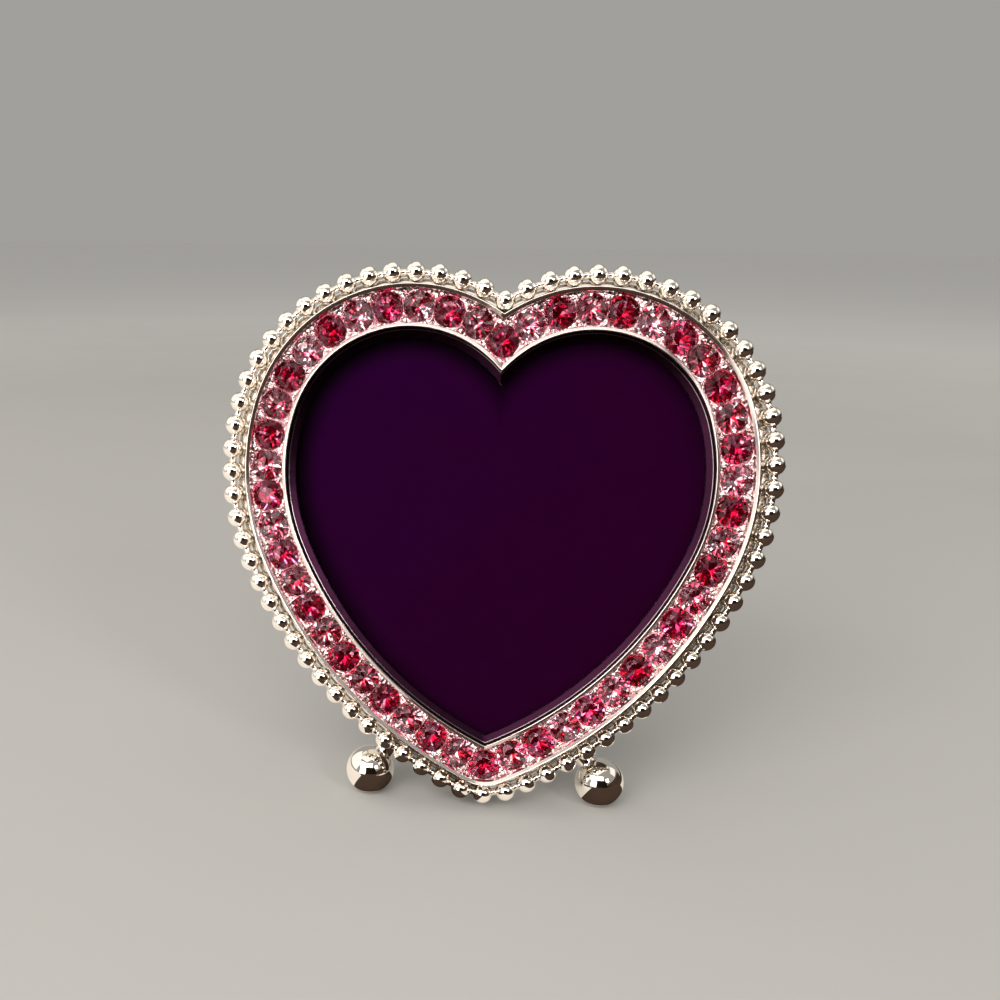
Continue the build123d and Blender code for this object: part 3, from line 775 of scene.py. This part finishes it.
# ---------------------------------------------------------------- bead border
BEAD_R, BEAD_N, LINK_R = 1.07, 3.88, 0.36
half_beads = along(bead_arcs(0.0), 36)
beads = np.array(half_beads + [(-u, v) for u, v in reversed(half_beads[1:-1])])
parts, recess = [], []
for i, b in enumerate(beads):
    before, after = beads[i - 1], beads[(i + 1) % len(beads)]
    run = after - before
    axis = U * run[0] + V * run[1]
    prof = [(BEAD_R * sin(pi * k / 20), -BEAD_R * cos(pi * k / 20)) for k in range(21)]
    prof[0], prof[-1] = (0.0, -BEAD_R), (0.0, BEAD_R)
    centre = ORIGIN + U * b[0] + V * b[1] + N * BEAD_N
    v, f = lathe(prof, centre, axis, 36)
    parts.append((np.array(v) * MM, f))
    inward = np.array(v) - centre
    # painted shade: each bead darkens on its back, towards the ledge
    recess += list(np.clip(-0.35 - (inward @ N) / BEAD_R, 0, 0.6))
    # link to the next bead, flared where it runs into both
    d = after - b
    gap = np.linalg.norm(d)
    mid = ORIGIN + U * (b[0] + d[0] / 2) + V * (b[1] + d[1] / 2) + N * BEAD_N
    half = gap / 2 - BEAD_R
    reach = half + 0.14
    link = []
    for k in range(9):
        x = -reach + 2 * reach * k / 8
        flare = max(0.0, abs(x) - half * 0.4)
        link.append((LINK_R + 1.2 * flare * flare, x))
    link = [(0.0, -reach)] + link + [(0.0, reach)]
    v, f = lathe(link, mid, U * d[0] + V * d[1], 20)
    parts.append((np.array(v) * MM, f))
    # painted shade: the links between the beads are darkened
    recess += [0.35] * len(v)
verts, faces = merge(parts)
border = make("bead_border_polished", verts, faces, [silver_bead], sharp=70, weld=0)
value_attribute(border, "recess", recess)
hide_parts("bead_border")

# ---------------------------------------------------------------- ball feet and their necks
FOOT_U, FOOT_V, FOOT_N, FOOT_R = 12.95, -28.22, 1.20, 2.70
NECK_R, FLANGE_R = 1.05, 1.40
out = np.array([FOOT_U - bc[0], FOOT_V - bc[1]])
edge_gap = np.linalg.norm(out) - (bead_c_r - 0.30)
out = out / np.linalg.norm(out)
neck_parts, neck_rec = [], []
for side, sgn in (("left", -1), ("right", 1)):
    centre = ORIGIN + U * sgn * FOOT_U + V * FOOT_V + N * FOOT_N
    to_edge = U * (-sgn * out[0]) + V * (-out[1])
    prof = [(FOOT_R * sin(pi * k / 56), FOOT_R * cos(pi * k / 56)) for k in range(57)]
    prof[0], prof[-1] = (0.0, FOOT_R), (0.0, -FOOT_R)
    v, f = lathe(prof, centre, to_edge, 96)
    ball = make("ball_foot_%s_polished" % side, np.array(v) * MM, f, [silver_ball], sharp=40, weld=0)
    bm = bmesh.new()
    bm.from_mesh(ball.data)
    cut = bmesh.ops.bisect_plane(bm, geom=bm.verts[:] + bm.edges[:] + bm.faces[:], plane_co=(0, 0, 0), plane_no=(0, 0, 1), clear_inner=True)
    edges = [e for e in cut["geom_cut"] if isinstance(e, bmesh.types.BMEdge)]
    bmesh.ops.contextual_create(bm, geom=edges)
    bmesh.ops.recalc_face_normals(bm, faces=bm.faces)
    bm.to_mesh(ball.data)
    bm.free()
    ball.data.set_sharp_from_angle(angle=radians(40))
    co = np.array([x.co for x in ball.data.vertices])
    # painted shade: the ball darkens towards the floor where it rests
    value_attribute(ball, "recess", np.clip(0.5 - co[:, 2] / 0.0009, 0, 0.5))
    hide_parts("ball_foot_" + side)
    e = edge_gap
    prof = [(0.0, FOOT_R - 0.35), (NECK_R + 0.20, FOOT_R - 0.30), (NECK_R + 0.06, FOOT_R - 0.10), (NECK_R, FOOT_R + 0.08)]
    prof += [(NECK_R, e - 0.86), (NECK_R + 0.05, e - 0.79)]
    prof += [(FLANGE_R - 0.14 + 0.14 * sin(t), e - 0.61 - 0.14 * cos(t)) for t in np.linspace(0, pi / 2, 6)]
    prof += [(FLANGE_R - 0.14 + 0.14 * cos(t), e - 0.34 + 0.14 * sin(t)) for t in np.linspace(0, pi / 2, 6)]
    prof += [(NECK_R, e - 0.20), (NECK_R, e + 0.08), (0.0, e + 0.08)]
    v, f = lathe(prof, centre, to_edge, 48)
    neck_parts.append((np.array(v) * MM, f))
    # painted shade: the collars are darkened
    neck_rec += [0.35] * len(v)
verts, faces = merge(neck_parts)
necks = make("foot_collars_turned", verts, faces, [silver_ball], sharp=45, weld=0)
value_attribute(necks, "recess", neck_rec)
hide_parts("foot_collars")


# ---------------------------------------------------------------- stage: pale floor, soft light, camera
def stage_floor():
    """A round floor that pales outwards, so that it runs into the backdrop on every side: its colour is painted darker
    under the lamps and paler far off, evening out the lamps' pool of light.
    """
    rings, seg = [0.05, 0.12, 0.25, 0.5, 1.0, 2.0, 4.0, 8.0], 64
    verts = [(0.0, 0.0, 0.0)] + [(r * cos(2 * pi * k / seg), r * sin(2 * pi * k / seg), 0.0) for r in rings for k in range(seg)]
    faces = [(0, 1 + k, 1 + (k + 1) % seg) for k in range(seg)]
    for i in range(len(rings) - 1):
        a, b = 1 + i * seg, 1 + (i + 1) * seg
        faces += [(a + k, b + k, b + (k + 1) % seg, a + (k + 1) % seg) for k in range(seg)]
    me = bpy.data.meshes.new("pale_floor")
    me.from_pydata(verts, [], faces)
    m = Mat("pale_floor")
    far = m.nt.nodes.new("ShaderNodeVectorMath")
    far.operation = "DISTANCE"
    m.link(m.pos, far.inputs[0])
    far.inputs[1].default_value = (-0.13, -0.08, 0.0)
    t = m.math("ADD", m.range(far.outputs["Value"], 0.0, 1.0, 0.0, 2.0), m.range(m.noise(30.0, 4.0), -0.004, 0.004, 0.3, 0.7))
    stops = [(0.10, 0.40), (0.20, 0.46), (0.27, 0.58), (0.37, 0.80), (0.47, 0.91), (0.60, 0.96), (0.85, 0.985)]
    m.link(m.ramp(t, [(x, (c, c * 0.968 + 0.03 * c * c, c * 0.91 + 0.085 * c * c)) for x, c in stops]), m.p.inputs["Base Color"])
    m.set(Roughness=0.85, Specular_IOR_Level=0.1)
    me.materials.append(m.mat)
    ob = bpy.data.objects.new("pale_floor", me)
    scene.collection.objects.link(ob)


stage_floor()


def reflector(name, faces, dark, light):
    """Matt cards out of shot that only the mirrors of the object see."""
    me = bpy.data.meshes.new(name)
    verts = [tuple(v) for f in faces for v in f]
    index, k = [], 0
    for f in faces:
        index.append(tuple(range(k, k + len(f))))
        k += len(f)
    me.from_pydata(verts, [], index)
    m = Mat(name)
    m.link(m.ramp(m.noise(40.0), [(0.3, dark), (0.7, light)]), m.p.inputs["Base Color"])
    m.set(Roughness=1.0, Specular_IOR_Level=0.0)
    me.materials.append(m.mat)
    ob = bpy.data.objects.new(name, me)
    ob.visible_camera = ob.visible_diffuse = ob.visible_shadow = False
    scene.collection.objects.link(ob)


low = 0.0006
lying_left = [(-0.0136, -0.010, low), (-0.001, -0.010, low), (-0.001, -0.030, low), (-0.006, -0.62, low), (-0.16, -0.62, low), (-0.060, -0.06, low), (-0.022, -0.026, low)]
lying_right = [(0.0123, -0.010, low), (0.024, -0.010, low), (0.024, 0.15, low), (0.42, 0.24, low), (0.42, -0.62, low), (-0.006, -0.62, low), (-0.001, -0.030, low)]
standing = [(-0.21, -0.62, 0.0), (0.42, -0.62, 0.0), (0.42, -0.62, 0.40), (-0.21, -0.62, 0.40)]
side = [(0.42, -0.62, 0.0), (0.42, 0.24, 0.0), (0.42, 0.24, 0.16), (0.42, -0.62, 0.16)]
reflector("brown_card", [lying_left, lying_right, side], (0.048, 0.032, 0.025), (0.060, 0.040, 0.031))
reflector("dark_card", [standing], (0.016, 0.011, 0.008), (0.022, 0.015, 0.010))
white = [(x, y, 0.0004) for x, y in ((-0.45, -0.50), (0.034, -0.50), (0.034, 0.005), (-0.032, 0.005), (-0.032, 0.30), (-0.45, 0.30))]
reflector("white_card", [white], (0.76, 0.73, 0.69), (0.80, 0.77, 0.73))


def softbox(name, at, aim, size, radiance, colour=(1.0, 1.0, 1.0)):
    """An area light whose face has the given brightness."""
    li = bpy.data.lights.new(name, "AREA")
    li.shape = "RECTANGLE"
    li.size, li.size_y = size
    li.energy = radiance * pi * size[0] * size[1]
    li.color = colour
    ob = bpy.data.objects.new(name, li)
    ob.location = at
    ob.rotation_mode = "QUATERNION"
    ob.rotation_quaternion = (Vector(aim) - Vector(at)).to_track_quat("-Z", "Y")
    ob.visible_camera = False
    scene.collection.objects.link(ob)


MID = (0.0, 0.0, 0.03)
WARM = (1.0, 0.97, 0.92)
softbox("top_box", (-0.05, 0.06, 0.52), MID, (0.70, 0.56), 0.85, WARM)
softbox("left_box", (-0.48, 0.05, 0.27), MID, (0.76, 0.46), 0.85, WARM)
softbox("right_box", (0.46, 0.12, 0.36), MID, (0.36, 0.24), 0.8, WARM)
softbox("key_box", (-0.30, -0.42, 0.42), MID, (0.34, 0.26), 5.8, WARM)
softbox("left_front", (-0.278, -0.463, 0.135), MID, (0.26, 0.24), 5.0, WARM)
softbox("high_front", (0.0, -0.415, 0.391), MID, (0.30, 0.17), 5.2, WARM)
softbox("spark", (0.28, -0.34, 0.26), MID, (0.11, 0.11), 14.0)

world = bpy.data.worlds.new("studio")
world.use_nodes = True
bg = world.node_tree.nodes.get("Background")
bg.inputs[0].default_value = (0.36, 0.350, 0.331, 1.0)
bg.inputs[1].default_value = 1.0
scene.world = world

FOCAL_PX, CX, CY = 1000.0, 412.62, 635.58
right = Vector((0.995473, 0.094197, 0.012648))
down = Vector((0.046455, -0.366149, -0.929396))
ahead = Vector((-0.082915, 0.925776, -0.368867))
cam_data = bpy.data.cameras.new("camera")
cam_data.sensor_fit = "HORIZONTAL"
cam_data.sensor_width = 36.0
cam_data.lens = FOCAL_PX * 36.0 / 1000.0
cam_data.shift_x = (500.0 - CX) / 1000.0
cam_data.shift_y = (CY - 500.0) / 1000.0
cam_data.clip_start, cam_data.clip_end = 0.005, 20.0
cam = bpy.data.objects.new("camera", cam_data)
m = Matrix((right, -down, -ahead)).transposed().to_4x4()
m.translation = Vector((0.659, -111.313, 59.0045)) * MM
cam.matrix_world = m
scene.collection.objects.link(cam)
scene.camera = cam

scene.view_settings.view_transform = "Standard"
scene.view_settings.look = "None"
